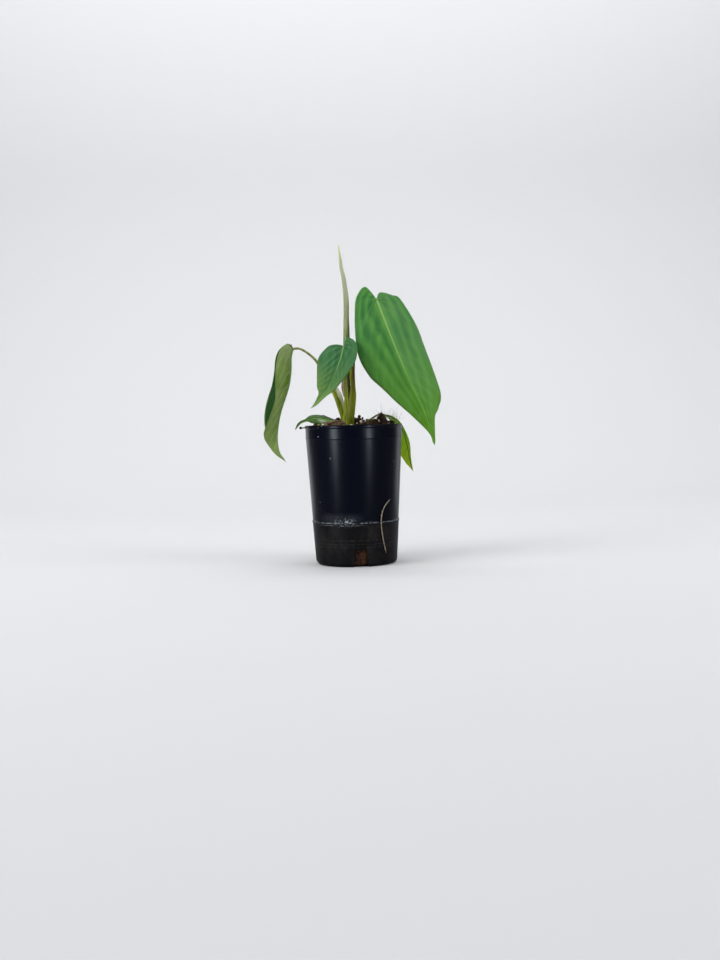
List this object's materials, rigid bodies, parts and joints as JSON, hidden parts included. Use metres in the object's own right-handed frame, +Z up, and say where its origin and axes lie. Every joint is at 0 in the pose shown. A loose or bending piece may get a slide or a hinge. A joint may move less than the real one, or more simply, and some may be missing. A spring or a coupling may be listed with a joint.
{
  "type": "potted philodendron",
  "caption": "Young philodendron with broad heart-shaped leaves and a rolled new leaf, growing in bark mix in a tapered black plastic nursery pot that stands on its flat base.",
  "frame": {"origin": "centre of the pot's flat underside", "axes": "+Z up out of the pot, -Y towards the side that the large leaf's upper face looks to, +X to that viewer's right"},
  "size_m": [0.1786, 0.0974, 0.3186],
  "materials": {
    "pot_plastic": "glossy blue-black moulded plastic, dull and dusty towards the foot",
    "bark_mix": "rough bark, coir and white perlite",
    "stem": "satin green stem",
    "sheath": "papery olive and tan sheath",
    "new_leaf": "satin pale green, still rolled",
    "mature_leaf": "satin green leaf with pale midrib",
    "root": "dry tan root"
  },
  "bodies": {
    "root": {"pot": "pot_plastic", "substrate": "bark_mix", "crown": "stem", "cataphyll": "sheath", "spear": "new_leaf", "leaf_large": "mature_leaf", "leaf_small": "mature_leaf", "leaf_left": "mature_leaf", "leaf_low_left": "mature_leaf", "leaf_low_right": "mature_leaf", "dried_root": "root"}
  },
  "joints": []
}
